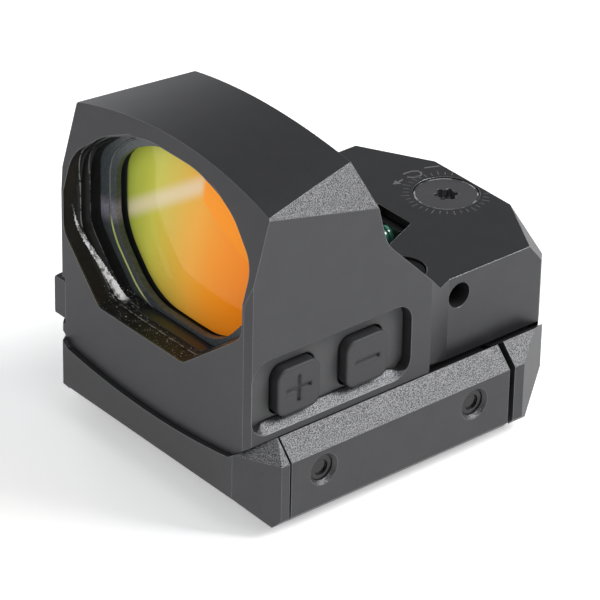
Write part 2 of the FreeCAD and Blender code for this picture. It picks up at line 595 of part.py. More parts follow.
bar_pts = [
    (13.15, 0.0 - 0.35), (13.15, 4.75), (D.belly_half + 0.1, D.belly_corner_z - 0.12), (D.body_half + 0.05, D.skirt_z - 0.12),
    (D.jaw_out, D.jaw_top_z), (D.jaw_out, D.jaw_low_z), (D.jaw_toe_x, D.jaw_toe_z), (12.6, D.lip_z), (D.lip_x, D.lip_z),
    (D.lip_x, -4.65), (D.ear_x, -3.1), (D.ear_x, -0.35)]
bar = profile("cb_section", "XZ_Plane", bar_pts, D.bar_y1 - D.bar_y0, D.bar_y1)
ct = []
for i, sy in enumerate((D.screw_y1, D.screw_y2)):
    ct.append(cyl("cb_hole%d" % i, D.screw_rad + D.run_fit, 12, 10, sy, D.screw_z, "x"))
    ct.append(cone("cb_sink%d" % i, D.screw_rad + D.run_fit, D.screw_rad + 0.45, 0.4, D.jaw_out - 0.4, sy, D.screw_z, "x"))
node("clamp_bar", cut("cb", bar, ct))
for i, (label, sy) in enumerate((("clamp_screw_front", D.screw_y1), ("clamp_screw_rear", D.screw_y2))):
    body = fuse("cs%d_body" % i, [
        cyl("cs%d_head" % i, 2.3, 2.35, -D.jaw_out + 0.3, sy, D.screw_z, "x"),
        cyl("cs%d_shank" % i, D.screw_rad, D.jaw_out + D.jaw_out - 2.6 - 0.55, -D.jaw_out + 2.6, sy, D.screw_z, "x")])
    node(label, cut("cs%d" % i, body, [
        torx("cs%d_drive" % i, -D.jaw_out + 0.2, sy, D.screw_z, 1.6, "x"),
        cyl("cs%d_dimple" % i, 0.95, 1.0, D.jaw_out - 0.8, sy, D.screw_z, "x")]))

# ------------------------------------------------------------------ fasteners
scr = []
for s, tag in ((1, "r"), (-1, "l")):
    b = fuse("hb_body_" + tag, [
        cyl("hb_head_" + tag, D.bolt_head, 2.2, s * D.bolt_x, D.bolt_y, D.deck_z - 2.4),
        cyl("hb_shank_" + tag, D.bolt_rad, D.deck_z - 2.3 - 0.5, s * D.bolt_x, D.bolt_y, 0.5)])
    scr.append(cut("hb_" + tag, b, [torx("hb_drive_" + tag, s * D.bolt_x, D.bolt_y, D.deck_z - 1.6, 2.0, "z")]))
node("housing_screws", compound("hb_all", scr))
node("locating_pins", compound("lp_all", [cyl("lp_r", 1.2, 5.3, 11.5, -17.6, 1.45), cyl("lp_l", 1.2, 5.3, -11.5, -17.6, 1.45)]))

# ------------------------------------------------------------------ check and write
doc.recompute()
bad = []
for o in doc.Objects:
    if "Invalid" in o.State or "Error" in o.State:
        bad.append("%s %s" % (o.Name, o.State))
for label, o in NODES:
    if o.Shape.isNull() or not o.Shape.isValid():
        bad.append("%s: bad shape" % label)
if bad:
    raise RuntimeError("; ".join(bad))
os.makedirs("parts", exist_ok=True)
for label, o in NODES:
    sh = o.Shape
    print("%-20s solids %d volume %8.2f  z %6.2f..%6.2f" % (label, len(sh.Solids), sh.Volume, sh.BoundBox.ZMin, sh.BoundBox.ZMax))
    sh.exportStep(os.path.join("parts", label + ".step"))
print(len(NODES), "nodes")
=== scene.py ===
import bpy
import bmesh
import math
from mathutils import Vector, Matrix


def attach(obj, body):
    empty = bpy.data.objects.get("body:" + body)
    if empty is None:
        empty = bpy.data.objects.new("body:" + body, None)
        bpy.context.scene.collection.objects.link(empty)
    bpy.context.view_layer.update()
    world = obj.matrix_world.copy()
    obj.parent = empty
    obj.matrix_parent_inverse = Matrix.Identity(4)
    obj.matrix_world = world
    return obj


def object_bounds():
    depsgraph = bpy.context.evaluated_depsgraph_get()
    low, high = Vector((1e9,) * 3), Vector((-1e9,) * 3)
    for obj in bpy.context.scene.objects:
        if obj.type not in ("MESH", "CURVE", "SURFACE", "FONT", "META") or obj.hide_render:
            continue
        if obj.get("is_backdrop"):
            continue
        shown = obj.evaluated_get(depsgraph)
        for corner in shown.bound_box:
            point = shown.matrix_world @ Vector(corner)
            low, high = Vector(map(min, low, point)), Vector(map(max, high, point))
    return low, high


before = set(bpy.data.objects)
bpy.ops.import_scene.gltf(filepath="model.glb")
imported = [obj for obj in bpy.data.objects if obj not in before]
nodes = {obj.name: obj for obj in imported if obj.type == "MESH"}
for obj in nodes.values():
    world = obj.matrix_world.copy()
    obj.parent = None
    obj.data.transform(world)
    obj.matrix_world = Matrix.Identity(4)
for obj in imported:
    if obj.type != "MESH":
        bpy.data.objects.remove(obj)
box_at_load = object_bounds()
MM = 0.001


# ------------------------------------------------------------------ material helpers
class Mat:
    def __init__(self, name):
        self.m = bpy.data.materials.new(name)
        self.m.use_nodes = True
        self.t = self.m.node_tree
        self.t.nodes.clear()
        self.out = self.t.nodes.new("ShaderNodeOutputMaterial")
        self.coord = self.t.nodes.new("ShaderNodeTexCoord")
        self._xyz = None

    def n(self, kind, **kw):
        nd = self.t.nodes.new(kind)
        for k, v in kw.items():
            if k.startswith("i_"):
                key = k[2:].replace("__", " ")
                self.put(nd, key, v)
            else:
                setattr(nd, k, v)
        return nd

    def put(self, nd, key, v):
        sock = nd.inputs[int(key)] if key.isdigit() else nd.inputs[key]
        if isinstance(v, bpy.types.NodeSocket):
            self.t.links.new(v, sock)
        else:
            sock.default_value = v

    def link(self, a, b):
        self.t.links.new(a, b)

    @property
    def xyz(self):
        """Object coordinates in millimetres."""
        if self._xyz is None:
            sc = self.n("ShaderNodeVectorMath", operation="SCALE")
            self.link(self.coord.outputs["Object"], sc.inputs[0])
            sc.inputs["Scale"].default_value = 1000.0
            self.pos = sc.outputs[0]
            sep = self.n("ShaderNodeSeparateXYZ")
            self.link(self.pos, sep.inputs[0])
            self._xyz = sep.outputs
        return self._xyz

    def math(self, op, a, b=None, c=None, clamp=False):
        nd = self.n("ShaderNodeMath", operation=op, use_clamp=clamp)
        for i, v in enumerate((a, b, c)):
            if v is None:
                continue
            self.put(nd, str(i), v)
        return nd.outputs[0]

    def noise(self, scale, detail=2.0, rough=0.5, vec=None, dist=0.0):
        self.xyz
        nd = self.n("ShaderNodeTexNoise", i_Scale=scale, i_Detail=detail, i_Roughness=rough, i_Distortion=dist)
        self.link(vec if vec is not None else self.pos, nd.inputs["Vector"])
        return nd.outputs["Fac"]

    def step(self, v, a, b, lo=0.0, hi=1.0):
        nd = self.n("ShaderNodeMapRange", interpolation_type="SMOOTHSTEP")
        self.put(nd, "0", v)
        for i, x in ((1, a), (2, b), (3, lo), (4, hi)):
            self.put(nd, str(i), x)
        return nd.outputs[0]

    def ramp(self, fac, stops):
        nd = self.n("ShaderNodeValToRGB")
        el = nd.color_ramp.elements
        while len(el) > 1:
            el.remove(el[-1])
        for i, (p, c) in enumerate(stops):
            e = el[0] if i == 0 else el.new(p)
            e.position = p
            e.color = (c[0], c[1], c[2], 1.0)
        self.link(fac, nd.inputs[0])
        return nd.outputs[0]

    def mix(self, fac, a, b, mode="MIX"):
        nd = self.n("ShaderNodeMix", data_type="RGBA", blend_type=mode)
        self.put(nd, "0", fac)
        for key, v in (("6", a), ("7", b)):
            if isinstance(v, (tuple, list)):
                v = (v[0], v[1], v[2], 1.0)
            self.put(nd, key, v)
        return nd.outputs[2]

    def bevel(self, radius, samples=6):
        nd = self.n("ShaderNodeBevel", samples=samples)
        nd.inputs["Radius"].default_value = radius
        return nd.outputs[0]

    def bump(self, height, strength, dist, normal=None):
        nd = self.n("ShaderNodeBump")
        self.put(nd, "Strength", strength)
        nd.inputs["Distance"].default_value = dist
        self.put(nd, "Height", height)
        if normal is not None:
            self.link(normal, nd.inputs["Normal"])
        return nd.outputs[0]

    def principled(self, color, rough, metal=0.0, normal=None, **kw):
        nd = self.n("ShaderNodeBsdfPrincipled")
        if isinstance(color, (tuple, list)):
            color = (color[0], color[1], color[2], 1.0)
        self.put(nd, "Base Color", color)
        self.put(nd, "Roughness", rough)
        self.put(nd, "Metallic", metal)
        if normal is not None:
            self.link(normal, nd.inputs["Normal"])
        for k, v in kw.items():
            self.put(nd, k.replace("__", " "), v)
        return nd.outputs[0]

    def finish(self, shader):
        self.link(shader, self.out.inputs["Surface"])
        return self.m


def edge_mask(m, nb, geo_n, lo=0.90, hi=0.995):
    dt = m.n("ShaderNodeVectorMath", operation="DOT_PRODUCT")
    m.link(nb, dt.inputs[0])
    m.link(geo_n, dt.inputs[1])
    return m.step(dt.outputs["Value"], hi, lo)


def alloy(name, base, rough, metal=0.75, mouth=False, edge=0.00013, grain=1.0):
    """Bead-blasted dark grey anodising, coarser on the milled bevels, where up-facing bevels also carry painted
    glint specks, with thin edges lightened partly as bare metal and partly as a painted highlight.
    """
    m = Mat(name)
    x, y, z = m.xyz
    fine = m.noise(5.5, 3.0, 0.65)
    micro = m.noise(16.0, 2.0, 0.7)
    spark = m.noise(8.5, 2.0, 0.8)
    broad = m.noise(0.35, 2.0, 0.5)
    nb = m.bevel(edge)
    geo = m.n("ShaderNodeNewGeometry")
    gn = geo.outputs["Normal"]
    sep = m.n("ShaderNodeSeparateXYZ")
    m.link(gn, sep.inputs[0])
    slope = m.math("MULTIPLY", m.math("ABSOLUTE", sep.outputs["X"]), m.math("MAXIMUM", sep.outputs["Z"], 0.0))
    facet = m.step(slope, 0.22, 0.38)
    h = m.math("ADD", m.math("MULTIPLY", fine, 0.6), m.math("MULTIPLY", micro, 0.4))
    strength = m.math("ADD", 0.16 * grain, m.math("MULTIPLY", facet, 0.34))
    nrm = m.bump(h, strength, 0.00006, nb)
    tint = m.mix(m.step(fine, 0.3, 0.7), [c * 0.93 for c in base], [c * 1.07 for c in base])
    tint = m.mix(m.step(broad, 0.35, 0.65), tint, m.mix(0.5, tint, [c * 1.1 for c in base]))
    # up-facing bevels get coarse grain plus painted glint specks, up to 2.55x the base colour
    grain_and_glints = m.mix(m.step(spark, 0.42, 0.58), [c * 0.25 for c in base], [c * 2.55 for c in base])
    tint = m.mix(m.math("MULTIPLY", facet, 0.95), tint, grain_and_glints)
    r = m.math("ADD", m.math("MULTIPLY", micro, 0.16), rough - 0.08)
    # thin edges are lightened in colour: partly bare worn metal, partly a painted highlight of the light on the
    # bevels
    bare_edge_and_highlight = m.math("MULTIPLY", edge_mask(m, nb, gn), 0.75)
    tint = m.mix(bare_edge_and_highlight, tint, [min(1.0, c * 4.5) for c in base])
    r = m.math("SUBTRACT", r, m.math("MULTIPLY", bare_edge_and_highlight, 0.16))
    body = m.principled(tint, r, metal, nrm)
    if not mouth:
        return m.finish(body)
    # the mouth of the window is gloss black
    crown = m.math("SUBTRACT", 36.0, m.math("DIVIDE", m.math("MULTIPLY", x, x), 119.0))
    lean = m.math("ADD", m.math("MULTIPLY", m.math("MAXIMUM", m.math("SUBTRACT", z, 24.3), 0.0), 0.285), -21.93)
    inside = m.math("MULTIPLY", m.math("LESS_THAN", m.math("ABSOLUTE", x), 15.95), m.math("GREATER_THAN", y, lean))
    inside = m.math("MULTIPLY", inside, m.math("LESS_THAN", y, -12.4))
    inside = m.math("MULTIPLY", inside, m.math("GREATER_THAN", z, 12.25))
    inside = m.math("MULTIPLY", inside, m.math("LESS_THAN", z, crown))
    # the outer bevels face away from the axis and stay plain
    inside = m.math("MULTIPLY", inside, m.math("LESS_THAN", m.math("MULTIPLY", sep.outputs["X"], x), 0.5))
    gloss = m.principled((0.008, 0.008, 0.009), 0.3, 0.0, m.bump(fine, 0.2, 0.0001, nb), Coat__Weight=0.05, Coat__Roughness=0.15)
    # the notch in front of the emitter is blackened too
    nk = m.math("MULTIPLY", m.math("LESS_THAN", m.math("ABSOLUTE", x), 8.0), m.math("LESS_THAN", z, 16.46))
    nk = m.math("MULTIPLY", nk, m.math("MULTIPLY", m.math("GREATER_THAN", y, -1.0), m.math("LESS_THAN", y, 13.1)))
    nk = m.math("MULTIPLY", nk, m.math("GREATER_THAN", z, 12.3))
    inside = m.math("MAXIMUM", inside, nk)
    mx = m.n("ShaderNodeMixShader")
    m.link(inside, mx.inputs[0])
    m.link(body, mx.inputs[1])
    m.link(gloss, mx.inputs[2])
    return m.finish(mx.outputs[0])


def rubber(name, base, rough, edge=0.0003):
    m = Mat(name)
    f = m.noise(9.0, 3.0, 0.6)
    g = m.noise(30.0, 2.0, 0.6)
    nrm = m.bump(m.math("ADD", f, m.math("MULTIPLY", g, 0.5)), 0.18, 0.00005, m.bevel(edge, 8))
    col = m.mix(m.step(f, 0.3, 0.7), [c * 0.9 for c in base], [c * 1.1 for c in base])
    return m.finish(m.principled(col, m.math("ADD", m.math("MULTIPLY", g, 0.15), rough - 0.07), 0.0, nrm))


def metal(name, base, rough, turned=None, edge=0.00008, metallic=1.0):
    """Turned or drawn metal.  turned = (x, y) centre of the concentric tool marks about Z."""
    m = Mat(name)
    x, y, z = m.xyz
    f = m.noise(12.0, 2.0, 0.5)
    nb = m.bevel(edge)
    h = f
    if turned:
        dx = m.math("SUBTRACT", x, turned[0])
        dy = m.math("SUBTRACT", y, turned[1])
        rad = m.math("SQRT", m.math("ADD", m.math("MULTIPLY", dx, dx), m.math("MULTIPLY", dy, dy)))
        ring = m.math("SINE", m.math("MULTIPLY", rad, 45.0))
        h = m.math("ADD", m.math("MULTIPLY", ring, 0.5), m.math("MULTIPLY", f, 0.6))
    nrm = m.bump(h, 0.2, 0.00003, nb)
    col = m.mix(m.step(f, 0.35, 0.65), [c * 0.9 for c in base], [c * 1.08 for c in base])
    return m.finish(m.principled(col, m.math("ADD", m.math("MULTIPLY", f, 0.12), rough - 0.06), metallic, nrm))


def plastic(name, base, rough, coat=0.0, scale=8.0):
    m = Mat(name)
    f = m.noise(scale, 3.0, 0.55)
    nrm = m.bump(f, 0.1, 0.00005, m.bevel(0.0001))
    col = m.mix(m.step(f, 0.3, 0.7), [c * 0.9 for c in base], [c * 1.1 for c in base])
    return m.finish(m.principled(col, m.math("ADD", m.math("MULTIPLY", f, 0.1), rough - 0.05), 0.0, nrm, Coat__Weight=coat, Coat__Roughness=0.05))


def lens_glass():
    m = Mat("coated_glass")
    x, y, z = m.xyz
    # the coating's colour runs from yellow-green on the left to deep orange on the right
    wob = m.math("MULTIPLY", m.math("SUBTRACT", m.noise(0.09, 2.0, 0.5), 0.5), 3.0)
    u = m.math("ADD", m.math("ADD", m.math("MULTIPLY", x, 1.0), m.math("MULTIPLY", m.math("SUBTRACT", z, 23.5), -0.18)), wob)
    fac = m.step(u, -13.5, 11.0)
    col = m.ramp(fac, [(0.0, (0.36, 0.42, 0.06)), (0.18, (0.53, 0.50, 0.075)), (0.40, (0.64, 0.43, 0.06)),
                       (0.62, (0.80, 0.37, 0.045)), (0.82, (0.86, 0.29, 0.020)), (1.0, (0.88, 0.23, 0.008))])
    # a painted reflection: a soft pale band from the upper middle down to the left
    w = m.math("SUBTRACT", z, m.math("ADD", 29.55, m.math("MULTIPLY", x, 0.66)))
    pale_reflection_band = m.step(m.math("ABSOLUTE", w), 0.1, 1.9, 1.0, 0.0)
    fade = m.step(x, 3.0, 1.2)
    pale_reflection_band = m.math("MULTIPLY", m.math("MULTIPLY", pale_reflection_band, fade), 0.66)
    col = m.mix(pale_reflection_band, col, (0.74, 0.62, 0.46))
    # a deeper orange crescent along the right rim, where the coating is seen twice
    edge_x = m.math("ADD", 1.9, m.math("MULTIPLY", m.math("MAXIMUM", m.math("SUBTRACT", 29.0, z), 0.0), 1.58))
    cres = m.math("MULTIPLY", m.step(m.math("SUBTRACT", x, edge_x), 0.0, 0.35), m.step(z, 23.6, 25.5))
    col = m.mix(m.math("MULTIPLY", cres, 0.8), col, (0.93, 0.29, 0.01))
    # dim towards the left rim
    rim = m.step(x, -12.4, -11.8)
    col = m.mix(rim, (0.10, 0.12, 0.05), col)
    speck = m.noise(6.0, 2.0, 0.5)
    nrm = m.bump(speck, 0.01, 0.00002)
    # the lens also glows faintly in its own colour (emission 0.16), painted light that lifts its brightness
    sh = m.principled(col, m.math("ADD", 0.07, m.math("MULTIPLY", speck, 0.02)), 0.0, nrm, Coat__Weight=0.03, Coat__Roughness=0.05,
                      Emission__Strength=0.16)
    pr = sh.node
    m.put(pr, "Emission Color", col)
    m.put(pr, "Specular IOR Level", 0.12)
    return m.finish(sh)


def pcb(name):
    m = Mat(name)
    f = m.noise(3.0, 3.0, 0.6)
    vor = m.n("ShaderNodeTexVoronoi", i_Scale=1.3)
    m.link(m.pos, vor.inputs["Vector"])
    tr = m.step(vor.outputs["Distance"], 0.18, 0.2)
    col = m.mix(tr, (0.55, 0.45, 0.2), m.mix(f, (0.01, 0.10, 0.04), (0.02, 0.16, 0.07)))
    return m.finish(m.principled(col, 0.35, 0.0, m.bump(f, 0.1, 0.00004), Coat__Weight=0.5))


HOUSE = alloy("housing_anodised", (0.058, 0.058, 0.061), 0.44, 0.72, mouth=True)
MOUNT = alloy("mount_anodised", (0.057, 0.057, 0.059), 0.46, 0.72, edge=0.00012, grain=1.15)
TRAY = alloy("tray_anodised", (0.055, 0.055, 0.058), 0.42, 0.7)
INNER = alloy("inner_alloy", (0.25, 0.25, 0.26), 0.35, 0.9)
KEYPAD = rubber("keypad_rubber", (0.053, 0.053, 0.055), 0.5)
BUTTON = rubber("button_rubber", (0.024, 0.024, 0.026), 0.5, edge=0.0006)
LENS_SEAL = rubber("lens_seal_rubber", (0.040, 0.047, 0.049), 0.5, edge=0.0001)
SEAL = rubber("seal_rubber", (0.012, 0.012, 0.012), 0.6, edge=0.0001)


def bezel_mat():
    m = Mat("bezel_blue_black")
    x, y, z = m.xyz
    f = m.noise(2.4, 3.0, 0.6)
    fine = m.noise(9.0, 2.0, 0.6)
    # a painted highlight: a lighter band on the left of the bezel, broken up by noise
    painted_highlight = m.math("MULTIPLY", m.step(m.math("ABSOLUTE", m.math("SUBTRACT", z, m.math("ADD", 21.6, m.math("MULTIPLY", m.math("ADD", x, 13.0), 0.2)))), 0.3, 2.0, 1.0, 0.0), m.step(x, -8.0, -10.0))
    col = m.mix(m.step(f, 0.35, 0.65), (0.036, 0.045, 0.047), (0.060, 0.070, 0.074))
    col = m.mix(m.math("MULTIPLY", painted_highlight, m.step(fine, 0.3, 0.7, 0.25, 0.9)), col, (0.30, 0.27, 0.34))
    nrm = m.bump(fine, 0.08, 0.00004, m.bevel(0.0001))
    return m.finish(m.principled(col, m.math("ADD", 0.36, m.math("MULTIPLY", f, 0.1)), 0.0, nrm, Coat__Weight=0.1, Coat__Roughness=0.2))


TRIM = bezel_mat()
DIAL = metal("dial_steel", (0.165, 0.163, 0.175), 0.40, (0.0, 20.8), edge=0.00016, metallic=0.85)
SCREW = metal("screw_steel", (0.050, 0.050, 0.050), 0.26)
SPRING = metal("spring_steel", (0.55, 0.55, 0.56), 0.25)
CELL = metal("cell_steel", (0.62, 0.62, 0.62), 0.18, (-5.6, -11.0))
BRASS = metal("contact_gold", (0.70, 0.55, 0.26), 0.28)
POLY = plastic("emitter_polymer", (0.012, 0.014, 0.014), 0.3, 0.3)
SWITCH = plastic("switch_polymer", (0.05, 0.05, 0.05), 0.45)
GLASS = lens_glass()
BOARD = pcb("board_laminate")


def diode_mat():
    m = Mat("diode_lens_green")
    f = m.noise(2.0, 2.0, 0.5)
    col = m.mix(f, (0.02, 0.10, 0.07), (0.10, 0.34, 0.24))
    return m.finish(m.principled(col, 0.1, 0.0, m.bump(f, 0.05, 0.00003), Coat__Weight=1.0, Coat__Roughness=0.02))


DIODE = diode_mat()
mk = Mat("engraved_mark")
mkf = mk.noise(3.0, 2.0, 0.5)
MARK = mk.finish(mk.principled(mk.mix(mkf, (0.085, 0.083, 0.092), (0.15, 0.147, 0.16)), 0.6))

look = {
    "sight_body": HOUSE, "lens_bezel": TRIM, "objective_lens": GLASS, "lens_seal": LENS_SEAL,
    "emitter_carriage": POLY, "emitter_diode": DIODE, "windage_slide": INNER,
    "elevation_adjuster": DIAL, "elevation_clip": SPRING, "windage_adjuster": SCREW,
    "elevation_spring": SPRING, "windage_spring": SPRING, "lock_screw": SCREW,
    "keypad_frame": KEYPAD, "button_plus": BUTTON, "button_minus": BUTTON,
    "key_switches": SWITCH, "key_board": BOARD, "battery_tray": TRAY, "coin_cell": CELL,
    "tray_seal": SEAL, "battery_contacts": BRASS, "main_board": BOARD, "bottom_cover": INNER,
    "rail_mount_base": MOUNT, "base_gasket": SEAL, "recoil_key": SCREW, "clamp_bar": MOUNT,
    "clamp_screw_front": SCREW, "clamp_screw_rear": SCREW, "housing_screws": SCREW,
    "locating_pins": SCREW,
}
for name, ob in nodes.items():
    ob.data.materials.clear()
    ob.data.materials.append(look[name])


# ------------------------------------------------------------------ modelled pieces
def mesh_object(name, bm, mat, body, smooth=True):
    me = bpy.data.meshes.new(name)
    bm.to_mesh(me)
    bm.free()
    if smooth:
        for p in me.polygons:
            p.use_smooth = True
    me.materials.append(mat)
    ob = bpy.data.objects.new(name, me)
    bpy.context.scene.collection.objects.link(ob)
    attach(ob, body)
    return ob


def rounded(points):
    """Corner list (x, y, r) to a dense closed outline."""
    n = len(points)
    out = []
    for i in range(n):
        b = Vector(points[i][:2])
        r = points[i][2]
        a, c = Vector(points[i - 1][:2]), Vector(points[(i + 1) % n][:2])
        u, w = (a - b).normalized(), (c - b).normalized()
        half = math.acos(max(-1, min(1, u.dot(w)))) / 2
        t = min(r / math.tan(half), 0.48 * (a - b).length, 0.48 * (c - b).length)
        r = t * math.tan(half)
        cen = b + (u + w).normalized() * (r / math.sin(half))
        p0, p1 = b + u * t - cen, b + w * t - cen
        ang = p0.angle_signed(p1)
        for k in range(9):
            q = p0.copy()
            th = -ang * k / 8
            q = Vector((p0.x * math.cos(th) - p0.y * math.sin(th), p0.x * math.sin(th) + p0.y * math.cos(th)))
            out.append(cen + q)
    # even spacing along the loop
    dense = []
    m = len(out)
    for i in range(m):
        a, b = out[i], out[(i + 1) % m]
        k = max(1, int((b - a).length / 0.45))
        for s in range(k):
            dense.append(a.lerp(b, s / k))
    return dense


def window(off, kind):
    if kind == "win":
        hw, sill, top, flat, knee, ear, rs = 15.75, 12.4, 34.9, 5.6, 20.2, 28.6, (1.6, 3.0, 4.0)
        flat_l, knee_l = 9.4, 19.3
    else:
        hw, sill, top, flat, knee, ear, rs = 12.1, 13.2, 33.6, 6.2, 19.8, 28.0, (8.0, 8.0, 8.0)
        flat_l, knee_l = flat, knee
    xs = hw - off
    ze, zt = ear - 0.5 * off, top - off
    pts = [(flat - 0.42 * off, sill + off, rs[0]), (xs, knee + 0.42 * off, rs[1]), (xs, ze, rs[2]),
           (xs * 0.72, zt - (zt - ze) * 0.42, 9.0), (xs * 0.34, zt - 0.02, 14.0)]
    left = [(-p[0], p[1], p[2]) for p in reversed(pts[2:])]
    left += [(-xs, knee_l + 0.42 * off, rs[1]), (-(flat_l - 0.42 * off), sill + off, rs[0])]
    return rounded(pts + left)


# liner in the mouth of the window: a warm dark outer wall, two low ridges, then a black cone
cx, cz = 0.0, 23.4


def polar(pts, count=220):
    out = []
    n = len(pts)
    for k in range(count):
        t = 2 * math.pi * k / count
        d = Vector((math.cos(t), math.sin(t)))
        best = None
        for i in range(n):
            a = pts[i] - Vector((cx, cz))
            e = pts[(i + 1) % n] - pts[i]
            den = d.x * e.y - d.y * e.x
            if abs(den) < 1e-9:
                continue
            r = (a.x * e.y - a.y * e.x) / den
            q = (a.x * d.y - a.y * d.x) / den
            if r > 0 and -1e-6 <= q <= 1 + 1e-6 and (best is None or r > best):
                best = r
        out.append((t, best))
    return out


win_p = polar(window(0.0, "win"))
ap_p = polar(window(0.0, "ap"))


def between(f, y, grow=0.0):
    """The loop a share f of the way from the window's outline to the lens opening."""
    pts = []
    for (t, rw), (_, ra) in zip(win_p, ap_p):
        r = rw + (ra - rw) * f - grow
        x, z = cx + r * math.cos(t), cz + r * math.sin(t)
        front = -22.0 + max(0.0, z - 24.3) * 0.285
        share = (y + 22.0) / 4.45
        yy = front + (-17.55 - front) * min(1.0, share)
        pts.append((x, yy, z))
    return pts


def loft(name, loops, mat, body):
    bm = bmesh.new()
    rings = [[bm.verts.new((p[0] * MM, p[1] * MM, p[2] * MM)) for p in lp] for lp in loops]
    n = len(rings[0])
    for a, b in zip(rings, rings[1:]):
        for i in range(n):
            k = (i + 1) % n
            bm.faces.new((a[i], a[k], b[k], b[i]))
    bmesh.ops.recalc_face_normals(bm, faces=bm.faces)
    bmesh.ops.reverse_faces(bm, faces=bm.faces)
    return mesh_object(name, bm, mat, body)


def mouth_mat():
    m = Mat("mouth_gloss")
    x, y, z = m.xyz
    f = m.noise(1.1, 4.0, 0.65, dist=0.6)
    g = m.noise(5.0, 3.0, 0.7)
    outer = m.step(y, -20.15, -19.95, 1.0, 0.0)
    col = m.mix(m.math("MULTIPLY", outer, m.step(z, 17.0, 20.0)), m.mix(f, (0.006, 0.006, 0.007), (0.016, 0.016, 0.016)), m.mix(f, (0.013, 0.013, 0.014), (0.026, 0.025, 0.026)))
    # the long painted glint along the slanted wall, a reflection broken up by the tool marks
    low = m.math("MULTIPLY", m.step(z, 22.6, 20.0), m.step(x, -7.6, -9.2))
    mid = m.math("ADD", -19.0, m.math("MULTIPLY", m.math("SUBTRACT", z, 12.7), -0.195))
    wide = m.math("ADD", 0.10, m.math("MULTIPLY", m.math("MAXIMUM", m.math("SUBTRACT", 20.4, z), 0.0), 0.050))
    off = m.math("ABSOLUTE", m.math("SUBTRACT", y, m.math("ADD", mid, m.math("MULTIPLY", m.math("SUBTRACT", g, 0.5), 0.55))))
    glint = m.math("MULTIPLY", m.math("GREATER_THAN", wide, off), low)
    glint = m.math("MULTIPLY", glint, m.step(f, 0.36, 0.56, 0.12, 0.85))
    # painted, broken sparkle on the sill
    sill = m.math("MULTIPLY", m.step(z, 14.6, 13.2), m.step(x, 7.0, 4.5))
    sill_sparkle = m.math("MULTIPLY", m.step(g, 0.60, 0.70), m.step(f, 0.42, 0.6))
    painted_glints = m.math("MAXIMUM", glint, m.math("MULTIPLY", m.math("MULTIPLY", sill_sparkle, sill), 0.8))
    # a faint painted highlight line along each ridge
    ridge_highlight = m.math("MAXIMUM", m.step(m.math("ABSOLUTE", m.math("ADD", y, 19.92)), 0.02, 0.10, 1.0, 0.0), m.math("MULTIPLY", m.step(m.math("ABSOLUTE", m.math("ADD", y, 18.82)), 0.02, 0.08, 1.0, 0.0), 0.5))
    painted_glints = m.math("MAXIMUM", painted_glints, m.math("MULTIPLY", m.math("MULTIPLY", ridge_highlight, m.step(f, 0.38, 0.6)), 0.22))
    col = m.mix(painted_glints, col, (0.75, 0.76, 0.78))
    nrm = m.bump(m.math("ADD", f, m.math("MULTIPLY", g, 0.5)), 0.25, 0.0002)
    sh = m.principled(col, 0.33, 0.0, nrm, Coat__Weight=0.02, Coat__Roughness=0.15)
    m.put(sh.node, "Specular IOR Level", 0.12)
    # the painted glints also glow through emission, painted light
    m.put(sh.node, "Emission Color", (0.95, 0.97, 1.0, 1.0))
    m.put(sh.node, "Emission Strength", m.math("MULTIPLY", painted_glints, 0.28))
    return m.finish(sh)


MOUTH = mouth_mat()
loft("mouth_liner", [between(0.008, -21.75), between(0.07, -20.4), between(0.075, -20.1), between(0.125, -19.98), between(0.13, -19.85),
                     between(0.10, -19.75), between(0.17, -18.95), between(0.215, -18.88), between(0.215, -18.75), between(0.19, -18.68),
                     between(0.27, -17.6)], MOUTH, "housing")

# a polished lip on the bezel around the lens
lip_mat = Mat("bezel_lip")
lx, ly, lz = lip_mat.xyz
lf = lip_mat.noise(0.5, 2.0, 0.5)
# a painted highlight: the lower left of the lip is coloured a light yellow-green
painted_highlight = lip_mat.math("MULTIPLY", lip_mat.step(lx, -6.0, -7.5), lip_mat.step(lz, 21.5, 19.5))
lcol = lip_mat.mix(painted_highlight, lip_mat.mix(lf, (0.03, 0.035, 0.035), (0.05, 0.055, 0.055)), (0.42, 0.46, 0.12))
LIP = lip_mat.finish(lip_mat.principled(lcol, 0.25, 0.0, lip_mat.bump(lf, 0.05, 0.00005), Coat__Weight=0.4))


def lip_loop(off, y):
    return [(p.x, y, p.y) for p in window(off, "ap")]


lips = [lip_loop(-0.85, -17.50), lip_loop(-0.92, -17.60), lip_loop(-1.02, -17.62), lip_loop(-1.10, -17.50)]
if len(set(len(q) for q in lips)) > 1:
    def even(pts, count=240):
        ring = [Vector((p[0], p[2])) for p in pts]
        pol = polar(ring, count)
        return [(cx + r * math.cos(t), pts[0][1], cz + r * math.sin(t)) for t, r in pol]
    lips = [even(q) for q in lips]
loft("bezel_lip", lips, LIP, "housing")


def flat_strip(bm, pts, half, z, closed=False):
    """A thin raised strip along a line on the deck."""
    vs = []
    n = len(pts)
    for i, p in enumerate(pts):
        a = pts[max(0, i - 1)]
        b = pts[min(n - 1, i + 1)]
        t = (Vector(b) - Vector(a)).normalized()
        nr = Vector((-t.y, t.x)) * half
        vs.append((bm.verts.new(((p[0] + nr.x) * MM, (p[1] + nr.y) * MM, z * MM)),
                   bm.verts.new(((p[0] - nr.x) * MM, (p[1] - nr.y) * MM, z * MM))))
    for (a, b), (c, d) in zip(vs, vs[1:]):
        bm.faces.new((a, b, d, c))


